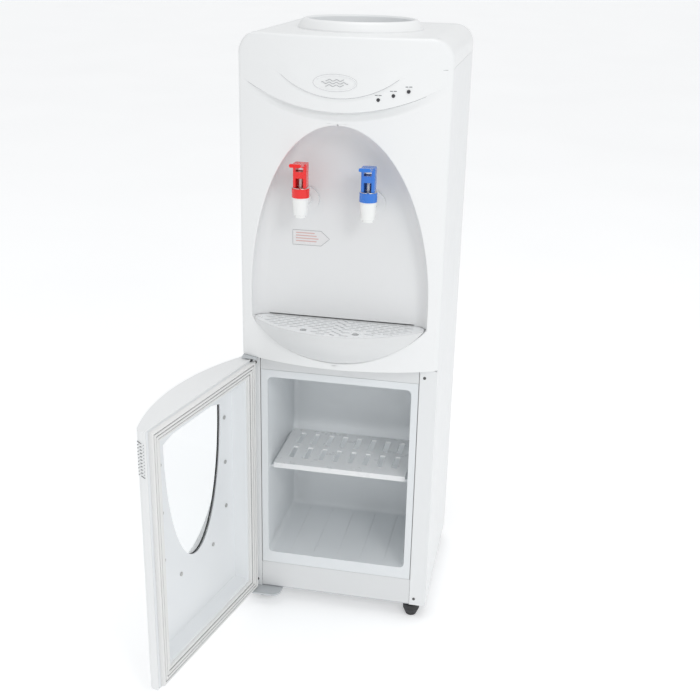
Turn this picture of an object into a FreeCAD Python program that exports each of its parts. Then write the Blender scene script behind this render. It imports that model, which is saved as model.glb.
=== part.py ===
"""Floor-standing hot and cold water dispenser with a refrigerated lower cabinet.

Frame: millimetres, +Z up.  The origin is on the floor, midway between the side
panels, in the plane of the cabinet's front flange.  The front faces -Y.
The door stands open at rest.
"""
import FreeCAD, Part
import Sketcher
import math
import os

from FreeCAD import Placement, Rotation, Vector

doc = FreeCAD.newDocument("WaterDispenser")

# ---------------------------------------------------------------- dimensions

SIZES = [
    # the body's envelope
    ("width", 310),
    ("depth", 282),
    ("base_height", 25),
    ("split_height", 455),
    ("seam_height", 905),
    ("top_height", 946),
    ("crown_radius", 30),
    ("steel", 1.2),
    ("moulding", 2.5),
    ("flange", 27),
    # the bowed front moulding
    ("bow_radius", 375),
    ("bow_depth", 40.5),
    ("bow_corner", 10),
    ("brow_low", 843.5),
    ("brow_radius", 296),
    ("brow_proud", 3.5),
    # the tap alcove and its drip tray
    ("alcove_half", 136),
    ("alcove_spring", 555),
    ("alcove_rise", 270),
    ("alcove_back", 9),
    ("alcove_scoop", 22),
    ("tray_rim", 520),
    ("tray_tip", 522),
    ("tray_low", 466),
    ("tray_reach", 72),
    ("tray_radius", 186.4),
    # the bottle collar
    ("collar_centre", 116),
    ("collar_radius", 83),
    ("collar_height", 960.4),
    ("seat_radius", 76),
    # the taps
    ("tap_middle", -5),
    ("tap_spacing", 100),
    ("tap_front", -32),
    ("tap_outlet", 688.5),
    ("shank_height", 707),
    ("nut_low", 718.5),
    ("nut_high", 733),
    ("lever_high", 768),
    ("pivot_height", 752),
    # the cold cabinet
    ("opening_half", 116),
    ("opening_low", 94.5),
    ("opening_high", 416),
    ("liner_half", 127),
    ("liner_low", 74),
    ("liner_high", 428),
    ("liner_depth", 176),
    ("shelf_height", 254),
    # the door, in its closed position
    ("fitting_height", 590),
    ("switch_height", 802),
    ("recess_depth", 29),
    ("window_half", 80),
    ("window_drop", 220),
    ("window_spring", 392),
    ("door_low", 26),
    ("door_high", 450),
    ("door_depth", 54),
    ("door_open", 102.4),
    ("hinge_across", -143),
    ("hinge_front", -12),
    ("hinge_pin", 3),
    # the refrigeration at the back
    ("condenser_front", 288),
    ("condenser_tube", 2.5),
]

dims = doc.addObject("Spreadsheet::Sheet", "Dims")
for row, (alias, value) in enumerate(SIZES, start=1):
    dims.set("A%d" % row, alias)
    dims.set("B%d" % row, str(value))
    dims.setAlias("B%d" % row, alias)
doc.recompute()

sub_parts = []


def size(alias):
    return float(dims.get(alias))


# ---------------------------------------------------------------- small tools

def bind(item, prop, rule):
    item.setExpression(prop, str(rule))


def put(item, x, y, z):
    for axis, rule in zip("xyz", (x, y, z)):
        bind(item, "Placement.Base." + axis, rule)
    return item


def keep(item, label):
    """Make an object one of the exported sub-parts."""
    item.Label = label
    sub_parts.append(item)
    return item


def box(name, x, y, z, across, along, tall):
    item = doc.addObject("Part::Box", name)
    bind(item, "Length", across)
    bind(item, "Width", along)
    bind(item, "Height", tall)
    return put(item, x, y, z)


def rod(name, x, y, z, radius, length):
    item = doc.addObject("Part::Cylinder", name)
    bind(item, "Radius", radius)
    bind(item, "Height", length)
    return put(item, x, y, z)


def join(name, *parts):
    item = doc.addObject("Part::MultiFuse", name)
    item.Shapes = list(parts)
    return item


def cut(name, blank, *tools):
    item = doc.addObject("Part::Cut", name)
    item.Base = blank
    item.Tool = tools[0] if len(tools) == 1 else join(name + "_tools", *tools)
    return item


def moulding(label, shape, place=None):
    """A sub-part whose shape is modelled in code; place moves it as a whole."""
    item = doc.addObject("Part::Feature", label)
    item.Shape = shape
    if place is not None:
        item.Placement = place.multiply(item.Placement)
    return keep(item, label)


def plane_of(body, role):
    for feature in body.Origin.OriginFeatures:
        if feature.Role == role:
            return feature
    raise ValueError("no origin plane " + role)


def new_body(label, x=0, y=0, z=0):
    body = doc.addObject("PartDesign::Body", label)
    put(body, x, y, z)
    return keep(body, label)


def rectangle(body, name, across, along, x=0, y=0, z=0):
    """A rectangle on the body's XY plane, from its corner at x, y."""
    sketch = body.newObject("Sketcher::SketchObject", name)
    sketch.AttachmentSupport = [(plane_of(body, "XY_Plane"), "")]
    sketch.MapMode = "FlatFace"
    points = [Vector(0, 0, 0), Vector(20, 0, 0), Vector(20, 10, 0), Vector(0, 10, 0)]
    for start, end in zip(points, points[1:] + points[:1]):
        sketch.addGeometry(Part.LineSegment(start, end), False)
    for side in range(4):
        sketch.addConstraint(Sketcher.Constraint("Coincident", side, 2, (side + 1) % 4, 1))
    for side, kind in enumerate(("Horizontal", "Vertical", "Horizontal", "Vertical")):
        sketch.addConstraint(Sketcher.Constraint(kind, side))
    sketch.addConstraint(Sketcher.Constraint("Coincident", 0, 1, -1, 1))
    wide = sketch.addConstraint(Sketcher.Constraint("DistanceX", 0, 1, 0, 2, 20.0))
    sketch.renameConstraint(wide, "across")
    long = sketch.addConstraint(Sketcher.Constraint("DistanceY", 1, 1, 1, 2, 10.0))
    sketch.renameConstraint(long, "along")
    bind(sketch, "Constraints.across", across)
    bind(sketch, "Constraints.along", along)
    for axis, rule in zip("xyz", (x, y, z)):
        bind(sketch, "AttachmentOffset.Base." + axis, rule)
    return sketch


def pad(body, sketch, length, name):
    feature = body.newObject("PartDesign::Pad", name)
    feature.Profile = sketch
    bind(feature, "Length", length)
    return feature


def pocket_up(body, sketch, length, name):
    """A pocket that rises from its sketch."""
    feature = body.newObject("PartDesign::Pocket", name)
    feature.Profile = sketch
    feature.Reversed = True
    bind(feature, "Length", length)
    return feature


def repeat(body, feature, role, spread, count, name):
    """Repeat a feature along one of the body's own axes."""
    pattern = body.newObject("PartDesign::LinearPattern", name)
    pattern.Originals = [feature]
    pattern.Direction = (plane_of(body, role), [""])
    bind(pattern, "Length", spread)
    pattern.Occurrences = count
    body.Tip = pattern
    return pattern


def slab(label, across, along, tall, x, y, z):
    """A plain plate: one rectangle, padded upwards."""
    body = new_body(label, x, y, z)
    pad(body, rectangle(body, label + "_outline", across, along), tall, label + "_pad")
    return body


def turned(profile, x, y, z=0):
    """Revolve a closed (radius, height) outline about a vertical axis."""
    points = [Vector(radius, 0, height) for radius, height in profile]
    face = Part.Face(Part.makePolygon(points + points[:1]))
    solid = face.revolve(Vector(), Vector(0, 0, 1), 360)
    solid.translate(Vector(x, y, z))
    return solid


def block(x0, x1, y0, y1, z0, z1):
    return Part.makeBox(x1 - x0, y1 - y0, z1 - z0, Vector(x0, y0, z0))


def hole(x, y, z, radius, length, direction=Vector(0, 0, 1)):
    return Part.makeCylinder(radius, length, Vector(x, y, z), direction)


def extrude(wire, along):
    return Part.Face(wire).extrude(along)


# ---------------------------------------------------------------- outlines

def bow_plan(apex, half, back, inset=0.0):
    """Plan of a bowed front: straight sides, small corner arcs and one wide arc."""
    big = size("bow_radius") - inset
    small = size("bow_corner") - inset
    half = half - inset
    centre = size("bow_radius") - apex
    corner_x = half - small
    corner_y = centre - math.sqrt((big - small) ** 2 - corner_x ** 2)
    reach = big / (big - small)
    touch = Vector(corner_x * reach, centre + (corner_y - centre) * reach, 0)
    middle = math.radians(-45)
    bulge = Vector(corner_x + small * math.cos(middle), corner_y + small * math.sin(middle), 0)
    side = Vector(half, corner_y, 0)
    rear = Vector(half, back, 0)

    def mirrored(point):
        return Vector(-point.x, point.y, 0)

    edges = [
        Part.LineSegment(mirrored(rear), mirrored(side)).toShape(),
        Part.Arc(mirrored(side), mirrored(bulge), mirrored(touch)).toShape(),
        Part.Arc(mirrored(touch), Vector(0, centre - big, 0), touch).toShape(),
        Part.Arc(touch, bulge, side).toShape(),
        Part.LineSegment(side, rear).toShape(),
        Part.LineSegment(rear, mirrored(rear)).toShape(),
    ]
    return Part.Wire(edges)


def bow_block(apex, half, back, low, high, inset=0.0):
    wire = bow_plan(apex, half, back, inset)
    wire.translate(Vector(0, 0, low))
    return extrude(wire, Vector(0, 0, high - low))


def crown_block(low, front, back, inset=0.0):
    """The body's front-view outline with its rounded top corners, as a prism along Y."""
    half = size("width") / 2 - inset
    top = size("top_height") - inset
    radius = size("crown_radius") - inset
    turn = radius * (1 - math.sqrt(0.5))
    corners = [Vector(-half, front, low), Vector(-half, front, top - radius)]
    edges = [
        Part.LineSegment(corners[0], corners[1]).toShape(),
        Part.Arc(corners[1], Vector(-half + turn, front, top - turn),
                 Vector(-half + radius, front, top)).toShape(),
        Part.LineSegment(Vector(-half + radius, front, top), Vector(half - radius, front, top)).toShape(),
        Part.Arc(Vector(half - radius, front, top), Vector(half - turn, front, top - turn),
                 Vector(half, front, top - radius)).toShape(),
        Part.LineSegment(Vector(half, front, top - radius), Vector(half, front, low)).toShape(),
        Part.LineSegment(Vector(half, front, low), corners[0]).toShape(),
    ]
    return extrude(Part.Wire(edges), Vector(0, back - front, 0))


def half_ellipse(half, spring, rise, y, upwards):
    """Half an ellipse in the XZ plane, from x = -half to x = half."""
    long_axis = Vector(0, y, spring + rise)
    ellipse = Part.Ellipse(long_axis, Vector(half, y, spring), Vector(0, y, spring))
    quarter = math.pi / 2
    edge = ellipse.toShape(-quarter, quarter)
    if not upwards:
        edge = edge.mirror(Vector(0, y, spring), Vector(0, 0, 1))
    return edge


def arch_block(inset, front, back, floor):
    """The alcove: straight sides under half an ellipse, as a prism along Y."""
    half = size("alcove_half") - inset
    spring = size("alcove_spring")
    arch = half_ellipse(half, spring, size("alcove_rise") - inset, front, True)
    edges = [
        arch,
        Part.LineSegment(Vector(-half, front, floor), Vector(-half, front, spring)).toShape(),
        Part.LineSegment(Vector(half, front, spring), Vector(half, front, floor)).toShape(),
        Part.LineSegment(Vector(half, front, floor), Vector(-half, front, floor)).toShape(),
    ]
    wire = Part.Wire(Part.__sortEdges__(edges))
    return extrude(wire, Vector(0, back - front, 0))


def scoop(inset, back):
    """The alcove with its back edge rounded, cut off level below the tray's rim."""
    solid = arch_block(inset, -90, back, size("tray_tip"))
    edges = [
        edge for edge in solid.Edges
        if abs(edge.CenterOfMass.y - back) < 0.01 and edge.CenterOfMass.z > size("tray_tip") + 1
    ]
    return solid.makeFillet(size("alcove_scoop") - inset, edges)


def crescent_block(inset, front, back):
    """The tray's pocket: flat on top, one wide arc below, as a prism along Y."""
    half = size("alcove_half")
    drop = size("tray_tip") - size("tray_low")
    radius = (half ** 2 + drop ** 2) / (2 * drop)
    centre = size("tray_low") + radius
    radius = radius - inset
    half = half - inset
    top = size("tray_tip")
    tip = centre - math.sqrt(radius ** 2 - half ** 2)
    edges = [
        Part.Arc(Vector(-half, front, tip), Vector(0, front, centre - radius),
                 Vector(half, front, tip)).toShape(),
        Part.LineSegment(Vector(half, front, tip), Vector(half, front, top + 1)).toShape(),
        Part.LineSegment(Vector(half, front, top + 1), Vector(-half, front, top + 1)).toShape(),
        Part.LineSegment(Vector(-half, front, top + 1), Vector(-half, front, tip)).toShape(),
    ]
    return extrude(Part.Wire(edges), Vector(0, back - front, 0))


def bowl(inset, low, high):
    """The tray's forward bulge: circles that step forward as they rise."""
    radius = size("tray_radius") - inset
    wires = []
    reach = size("tray_reach") - size("bow_depth")
    for share in (0.0, 0.25, 0.5, 0.75, 1.0):
        apex = -size("bow_depth") - reach * math.sin(share * math.pi / 2)
        height = low + (high - low) * share
        centre = Vector(0, apex + size("tray_radius"), height)
        wires.append(Part.Wire(Part.Circle(centre, Vector(0, 0, 1), radius).toShape()))
    return Part.makeLoft(wires, True, False)


def shield_block(grow, front, back):
    """The door window's shield: a shallow arc over half an ellipse, as a prism along Y."""
    half = size("window_half") + grow
    spring = size("window_spring") + grow * 0.2
    drop = size("window_drop") + grow * 0.8
    rise = half * 0.16
    lower = half_ellipse(half, spring, drop, front, False)
    upper = Part.Arc(Vector(-half, front, spring), Vector(0, front, spring + rise),
                     Vector(half, front, spring)).toShape()
    wire = Part.Wire(Part.__sortEdges__([lower, upper]))
    return extrude(wire, Vector(0, back - front, 0))


# ---------------------------------------------------------------- the carcass

def make_base():
    body = slab("base_plate", "Dims.width - 2 * Dims.steel - 0.6", "Dims.depth - 2 * Dims.steel - 0.6",
                "Dims.steel + 0.8", "-Dims.width / 2 + Dims.steel + 0.3", "Dims.steel + 0.3",
                "Dims.base_height")
    for count, (x, y) in enumerate(foot_places()):
        sketch = rectangle(body, "stud_hole_%d" % count, 9, 9,
                           "%g + Dims.width / 2 - Dims.steel - 4.8" % x, "%g - Dims.steel - 4.8" % y, -1)
        pocket_up(body, sketch, 6, "stud_pocket_%d" % count)


def foot_places():
    """Centres of the four feet."""
    return [(x, y) for x in (-130, 130) for y in (15, size("depth") - 24)]


def make_side(label, side):
    """A sheet panel folded into a channel, with a narrower front flange above the door."""
    height = "Dims.seam_height - Dims.base_height"
    body = new_body(label, "%d * Dims.width / 2" % side, 0, "Dims.base_height")

    def start(across):
        return "-(%s)" % across if side > 0 else "0"

    lower = "Dims.split_height - Dims.base_height - 3.4"
    rise = "Dims.split_height - Dims.base_height"
    web = rectangle(body, label + "_web", "Dims.steel", "Dims.depth", start("Dims.steel"))
    pad(body, web, height, label + "_web_pad")
    front = rectangle(body, label + "_front", "Dims.flange", "Dims.steel", start("Dims.flange"))
    pad(body, front, lower, label + "_front_pad")
    upper = rectangle(body, label + "_upper", 12, "Dims.steel", start("12"), 0, rise)
    pad(body, upper, "Dims.seam_height - Dims.split_height", label + "_upper_pad")
    rear = rectangle(body, label + "_rear", 14, "Dims.steel", start("14"), "Dims.depth - Dims.steel")
    pad(body, rear, height, label + "_rear_pad")


def make_rear():
    """The rear sheet with its rows of ventilation slots and the compressor opening."""
    body = slab("rear_panel", "Dims.width - 29", "Dims.steel", "Dims.seam_height - Dims.base_height - 3",
                "-Dims.width / 2 + 14.5", "Dims.depth - Dims.steel", "Dims.base_height + 2.4")
    opening = rectangle(body, "compressor_opening", "Dims.width - 70", 8, "20.5", -3, 20)
    pocket_up(body, opening, 150, "compressor_window")
    for column in range(3):
        slot = rectangle(body, "vent_%d" % column, 62, 8, "%d" % (34 + 75 * column), -3, 605)
        vent = pocket_up(body, slot, 4, "vent_pocket_%d" % column)
        repeat(body, vent, "Z_Axis", 88, 9, "vent_rows_%d" % column)
    above = "Dims.%s - Dims.base_height - 2.4 - %s"
    switches = rectangle(body, "switch_opening", 58.5, 8, "34", -3, above % ("switch_height", 15.5))
    pocket_up(body, switches, 30.5, "switch_window")
    gland = rectangle(body, "gland_opening", 16, 8, "42.5", -3, above % ("fitting_height", 8))
    pocket_up(body, gland, 16, "gland_window")
    drain = rectangle(body, "drain_opening", 22, 8, "129.5", -3, above % ("fitting_height", 11))
    pocket_up(body, drain, 22, "drain_window")


def make_rails():
    slab("header_rail", "2 * Dims.liner_half", "1.2", "Dims.split_height - Dims.liner_high - 4",
         "-Dims.liner_half", 0.5, "Dims.liner_high + 0.4")
    slab("kick_panel", "2 * Dims.liner_half + 1", "1.2", "Dims.liner_low - Dims.base_height - 2.9",
         "-Dims.liner_half - 0.5", 0.3, "Dims.base_height + 2.4")
    slab("partition_plate", "Dims.width - 2 * Dims.steel - 0.6", "Dims.depth - 2 * Dims.steel - 0.8",
         "Dims.steel", "-Dims.width / 2 + Dims.steel + 0.3", "Dims.steel + 0.4", "Dims.split_height + 0.1")


def tub(half, low, high, front, back, radius):
    """An open-fronted box with rounded corners all round its back."""
    solid = block(-half, half, front, back, low, high)
    edges = [edge for edge in solid.Edges if abs(edge.CenterOfMass.y - front) > 0.01]
    return solid.makeFillet(radius, edges)


def make_liner():
    """The one-piece liner of the cold cabinet: flange, tub, shelf ledges and floor grooves."""
    half = size("opening_half")
    low, high = size("opening_low"), size("opening_high")
    wall = size("moulding")
    deep = size("liner_depth")
    outer = tub(half + wall, low - wall, high + wall, 3, deep + wall, 10)
    flange = block(-size("liner_half") + 0.3, size("liner_half") - 0.3, 0.3, 3.3,
                   size("liner_low"), size("liner_high"))
    shape = outer.fuse(flange).cut(tub(half, low, high, -2, deep, 8))
    top = size("shelf_height") - 5.4
    for side in (-1, 1):
        x0, x1 = sorted((side * (half + 1), side * (half - 11)))
        shape = shape.fuse(block(x0, x1, 22, 150, top - 4, top))
    grooves = [block(x - 1, x + 1, 14, deep - 14, low - 0.8, low + 5) for x in range(-80, 81, 40)]
    for groove in grooves:
        shape = shape.cut(groove)
    moulding("cabinet_liner", shape.removeSplitter())


def make_foam():
    """The rigid foam that fills the space round the liner."""
    half = size("opening_half") + size("moulding")
    low = size("opening_low") - size("moulding")
    high = size("opening_high") + size("moulding")
    deep = size("liner_depth") + size("moulding")
    shell = block(-150, 150, 3.6, deep + 12, size("liner_low") - 18, size("liner_high") + 16)
    hollow = block(-half - 0.2, half + 0.2, 0, deep + 0.2, low - 0.2, high + 0.2)
    moulding("foam_insulation", shell.cut(hollow))


# ---------------------------------------------------------------- the mouldings

def make_front_panel():
    """The bowed front moulding with its brow, tap alcove and tray pocket."""
    half = size("width") / 2
    apex = size("bow_depth")
    wall = size("moulding")
    low, high = size("split_height"), size("top_height")
    back = -0.3
    outer = bow_block(apex, half, back, low, high + 1).common(crown_block(low, -90, 5))
    inner = bow_block(apex, half, back + 1, low + wall, high, wall)
    inner = inner.common(crown_block(low, -90, 5, wall))
    shell = outer.cut(inner)

    brow = bow_block(apex + size("brow_proud"), half, back, size("brow_low"), high - 24)
    brow = brow.common(crown_block(low, -90, 5))
    disc = hole(0, -90, size("brow_low") + size("brow_radius"), size("brow_radius"), 100, Vector(0, 1, 0))
    core = bow_block(apex, half, back + 1, low, high)
    brow = brow.common(disc).cut(core)

    deep = size("alcove_back")
    cavity = scoop(0, deep).fuse(crescent_block(0, -90, deep))
    casing = scoop(-wall, deep + wall).fuse(crescent_block(-wall, -90, deep + wall))
    reach = bow_block(apex, half, deep + wall + 5, low + wall, high)
    shape = shell.cut(casing).fuse(casing.cut(cavity).common(reach)).fuse(brow).cut(cavity)
    for x in tap_places():
        shape = shape.cut(hole(x, 0, size("shank_height"), 8.2, 40, Vector(0, 1, 0)))
    for x, z in light_places():
        shape = shape.cut(hole(x, -60, z, 2.8, 60, Vector(0, 1, 0)))
    moulding("front_panel", shape.removeSplitter())


def tap_places():
    middle, step = size("tap_middle"), size("tap_spacing") / 2
    return (middle - step, middle + step)


def light_places():
    """Centres of the three indicator lights: a short row that climbs with the brow."""
    return [(56.4 + 20.4 * step, 863.4 + 6 * step) for step in range(3)]


def face_y(x, apex):
    """The y of the bowed surface at x."""
    radius = size("bow_radius")
    return radius - apex - math.sqrt(radius ** 2 - x ** 2)


def make_badge_and_lights():
    y = face_y(0, size("bow_depth"))
    ring = Part.Ellipse(Vector(26, y, 0), Vector(-4, y, 10.5), Vector(-4, y, 0))
    wire = Part.Wire(ring.toShape())
    wire.translate(Vector(0, 0, 884.3))
    plate = extrude(wire, Vector(0, -size("brow_proud") - 1.6, 0))
    cover = bow_block(size("bow_depth") + size("brow_proud"), 140, 0, 840, 930)
    moulding("badge", plate.cut(cover))

    lamps = []
    for x, z in light_places():
        front = face_y(x, size("bow_depth")) - size("brow_proud")
        stem = hole(x, front - 0.6, z, 2.5, 16, Vector(0, 1, 0))
        lamps.append(stem)
    moulding("indicator_lights", Part.makeCompound(lamps))


def make_top_cover():
    """The top moulding: rounded shell and the collar that the bottle's shoulder sits on."""
    wall = size("moulding")
    low = size("seam_height") + 0.4
    rear = size("depth")
    shape = crown_block(low, 0, rear)
    shape = shape.cut(crown_block(low - 1, -1, rear - wall, wall))
    crest = size("collar_height")
    radius = size("collar_radius")
    top = size("top_height")
    collar = turned([
        (radius + 11, top - 2), (radius + 11, top + 2), (radius + 9, top + 5.5), (radius + 5, crest - 3),
        (radius + 2.5, crest - 0.6), (radius, crest), (radius - 2.5, crest - 0.6), (radius - 4, crest - 3),
        (radius - 5.5, top - 14), (radius - 3, top - 14),
        (radius - 2, crest - 5), (radius, crest - 3), (radius + 3, crest - 5),
        (radius + 5.5, top + 4), (radius + 6, top - 2),
    ], 0, size("collar_centre"))
    bore = hole(0, size("collar_centre"), low, radius - 3.2, 80)
    moulding("top_cover", shape.cut(bore).fuse(collar).removeSplitter())


def make_bottle_seat():
    """The funnel that the bottle's neck sits in, and the spike that opens its cap."""
    y = size("collar_centre")
    radius = size("seat_radius")
    moulding("bottle_seat", turned([
        (radius, 948), (radius, 929), (37, 900), (37, 873), (34, 873),
        (34, 902), (radius - 2.5, 931.5), (radius - 2.5, 948),
    ], 0, y))
    spike = turned([
        (0, 873.2), (33.4, 873.2), (33.4, 876.2), (9, 876.2), (9, 926), (6.5, 940), (0, 946),
    ], 0, y)
    for angle in (0, 90):
        slot = block(-1.6, 1.6, -12, 12, 905, 930)
        slot.rotate(Vector(), Vector(0, 0, 1), angle)
        slot.translate(Vector(0, y, 0))
        spike = spike.cut(slot)
    moulding("guard_spike", spike)


# ---------------------------------------------------------------- water and cooling

def make_tanks():
    y = "Dims.collar_centre"
    tank = rod("cold_tank_blank", 0, y, 702, 62, 169)
    keep(cut("cold_tank", tank, rod("cold_tank_hollow", 0, y, 703.2, 60.8, 180)), "cold_tank")
    jacket = rod("jacket_blank", 0, y, 684, 72, 188.6)
    keep(cut("cold_tank_jacket", jacket, rod("jacket_hollow", 0, y, 701.8, 62.2, 190)), "cold_tank_jacket")
    hot = rod("hot_tank_blank", -62, 150, 520, 46, 132)
    keep(cut("hot_tank", hot, rod("hot_tank_hollow", -62, 150, 521.2, 44.8, 129.6)), "hot_tank")
    plate = box("bracket_plate", -114, 98, 516, 104, 104, 3.8)
    legs = [
        box("bracket_leg_%d" % count, -114 + 101.5 * count, 98, "Dims.split_height + 1.4", 2.5, 104,
            "516.2 - Dims.split_height - 1.4")
        for count in range(2)
    ]
    keep(join("hot_tank_bracket", plate, *legs), "hot_tank_bracket")


def pipe(label, points, radius, bend):
    """A bent tube: straight runs joined by tangent arcs."""
    path = [Vector(*point) for point in points]
    edges = []
    start = path[0]
    for before, corner, after in zip(path, path[1:], path[2:]):
        into = (corner - before).normalize()
        out = (after - corner).normalize()
        turn = into.getAngle(out)
        back = bend * math.tan(turn / 2)
        enter, leave = corner - into * back, corner + out * back
        bisector = (out - into).normalize()
        middle = corner + bisector * (bend / math.cos(turn / 2) - bend)
        edges.append(Part.LineSegment(start, enter).toShape())
        edges.append(Part.Arc(enter, middle, leave).toShape())
        start = leave
    edges.append(Part.LineSegment(start, path[-1]).toShape())
    wire = Part.Wire(edges)
    heading = (path[1] - path[0]).normalize()
    ring = Part.Wire(Part.Circle(path[0], heading, radius).toShape())
    return moulding(label, wire.makePipeShell([ring], True, False))


def make_hoses():
    left, right = tap_places()
    height = size("shank_height")
    pipe("hot_water_tube", [(left, 28.2, height), (left, 48, height), (left, 60, 664), (-62, 150, 664),
                            (-62, 150, 652.4)], 4, 7)
    pipe("cold_water_tube", [(right, 28.2, height), (right, 52, height), (right, 52, 676),
                             (20, 116, 676), (20, 116, 683.8)], 4, 3.5)


def make_compressor():
    """The welded oval shell, on four rubber grommets."""
    centre = size("liner_depth") + size("moulding") + 12 + 46
    flat = Part.makeBox(52, 74, 118, Vector(-26, centre - 37, 40))
    ends = [Part.makeCylinder(37, 118, Vector(x, centre, 40)) for x in (-26, 26)]
    shell = flat.multiFuse(ends).removeSplitter()
    rims = [edge for edge in shell.Edges if edge.BoundBox.ZLength < 0.01]
    shell = shell.makeFillet(16, rims)
    skirt = block(-74, 74, centre - 30, centre + 30, 37, 40.2)
    moulding("compressor", shell.fuse(skirt))
    grommets = [
        hole(x, centre + y, size("base_height") + 2.2, 9, 37 - size("base_height") - 2.3)
        for x in (-62, 62) for y in (-20, 20)
    ]
    moulding("compressor_grommets", Part.makeCompound(grommets))


def make_condenser():
    """A serpentine tube with wires welded across it, held off the rear by clips."""
    y = size("condenser_front")
    tube = size("condenser_tube")
    runs, pitch, low, reach = 9, 40, 215, 118
    points = [(-reach - 14, y, low)]
    for run in range(runs):
        side = 1 if run % 2 == 0 else -1
        rise = pitch if run < runs - 1 else 30
        points.append((side * reach, y, low + pitch * run))
        points.append((side * reach, y, low + pitch * run + rise))
    pipe("condenser_tube", points, tube, 14)
    top = low + pitch * (runs - 1)
    wires = [
        hole(x, y + side * (tube + 0.7), low - 12, 0.8, top - low + 24)
        for x in range(-96, 97, 16) for side in (-1, 1)
    ]
    moulding("condenser_wires", Part.makeCompound(wires))
    clips = [
        block(x - 6, x + 6, size("depth") + 0.05, y - tube - 1.55, z - 8, z + 8)
        for x in (-88, 88) for z in (low + pitch / 2, top - pitch / 2)
    ]
    moulding("condenser_clips", Part.makeCompound(clips))


# ---------------------------------------------------------------- the rear fittings

def make_rear_fittings():
    rear = size("depth")
    top = size("switch_height") - 15.5
    left = -size("width") / 2 + 14.5 + 34
    case = block(left - 3, left + 61.5, rear + 0.05, rear + 2.4, top - 3, top + 33.5)
    case = case.fuse(block(left + 0.3, left + 58.2, rear - 18, rear + 0.1, top + 0.3, top + 30.2))
    for count in range(2):
        x = left + 3 + 27.5 * count
        case = case.cut(block(x, x + 25, rear - 15, rear + 5, top + 5, top + 26))
    moulding("switch_housing", case)
    for count, label in enumerate(("hot_switch", "cold_switch")):
        x = left + 3 + 27.5 * count + 12.5
        z = top + 15.5
        rocker = hole(x - 11.8, rear - 2.2, z, 9.6, 23.6, Vector(1, 0, 0))
        dip = hole(x - 13, rear + 21.5, z, 18, 26, Vector(1, 0, 0))
        moulding(label, rocker.cut(dip))
    gland_x = -90
    gland_z = size("fitting_height")
    gland = hole(gland_x, rear - 4, gland_z, 7.8, 4.1, Vector(0, 1, 0))
    gland = gland.fuse(hole(gland_x, rear + 0.05, gland_z, 11, 5, Vector(0, 1, 0)))
    moulding("cord_gland", gland.cut(hole(gland_x, rear - 10, gland_z, 4, 30, Vector(0, 1, 0))))
    drain_z = size("fitting_height")
    neck = hole(0, rear - 20, drain_z, 9, 28, Vector(0, 1, 0))
    neck = neck.cut(hole(0, rear - 21, drain_z, 6.5, 40, Vector(0, 1, 0)))
    moulding("drain_spout", neck)
    cap = hole(0, rear + 0.5, drain_z, 13, 12.5, Vector(0, 1, 0))
    moulding("drain_cap", cap.cut(hole(0, rear - 1, drain_z, 9.06, 10, Vector(0, 1, 0))))
    knob = hole(90, rear + 0.4, drain_z, 13, 11, Vector(0, 1, 0))
    grip = block(88, 92, rear + 11.3, rear + 15, drain_z - 12, drain_z + 12)
    moulding("thermostat_knob", knob.fuse(grip))


# ---------------------------------------------------------------- the taps

def make_tap(prefix, x):
    y = size("tap_front")
    outlet = size("tap_outlet")
    low, high = size("nut_low"), size("nut_high")
    shank = size("shank_height")
    back = size("alcove_back")
    name = prefix + "_tap_"

    barrel = turned([(0, outlet), (8, outlet), (8.4, outlet + 3.4), (10.1, outlet + 4),
                     (12, low - 3), (12, low - 0.1), (0, low - 0.1)], x, y)
    arm = hole(x, y, shank, 8, back + 19 - y, Vector(0, 1, 0))
    bore = hole(x, y, outlet - 1, 5, low - outlet + 2)
    feed = hole(x, y, shank, 4.2, back + 30 - y, Vector(0, 1, 0))
    moulding(name + "body", barrel.fuse(arm).cut(bore).cut(feed))

    collar = turned([(13, low), (13, high - 1.5), (11.5, high), (3.3, high), (3.3, high - 3),
                     (10.3, high - 3), (10.3, low)], x, y)
    moulding(name + "nut", collar)

    pivot = size("pivot_height")
    stem = turned([(0, 700), (4.6, 700), (4.6, 704), (2.5, 706), (2.5, low + 0.6), (7, low + 0.6),
                   (7, low + 2), (2.6, low + 2), (2.6, pivot - 5), (4, pivot - 4), (4, pivot + 4),
                   (0, pivot + 5)], x, y)
    moulding(name + "stem", stem.fuse(hole(x - 9.6, y, pivot, 1.5, 19.2, Vector(1, 0, 0))))
    coils = turned([(5.4, low + 2.2), (7, low + 2.2), (7, high - 3.2), (5.4, high - 3.2)], x, y)
    moulding(name + "spring", coils)
    top = size("lever_high")
    foot = high + 0.5
    column = block(x - 10, x + 10, y - 9, y + 9, foot, top)
    column = column.makeFillet(2.5, [edge for edge in column.Edges if edge.BoundBox.ZLength > 10])
    inside = block(x - 5.6, x + 5.6, y - 5.5, y + 5.8, foot - 1, pivot + 6.6)
    inside = inside.fuse(block(x - 5.6, x + 5.6, y - 12, y, foot - 1, pivot - 5))
    window = block(x - 5.6, x + 5.6, y - 12, y + 12, pivot + 4.5, pivot + 10.5)
    paddle = block(x - 8.5, x + 8.5, y - 36, y - 3, top - 5.4, top - 0.2)
    paddle = paddle.makeFillet(2.2, [edge for edge in paddle.Edges if edge.BoundBox.YLength > 10])
    paddle.rotate(Vector(x, y - 3, top - 3), Vector(1, 0, 0), -9)
    lever = column.fuse(paddle).cut(inside).cut(window)
    lever = lever.cut(hole(x - 12, y, pivot, 1.55, 24, Vector(1, 0, 0)))
    moulding(name + "lever", lever.removeSplitter())


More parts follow.
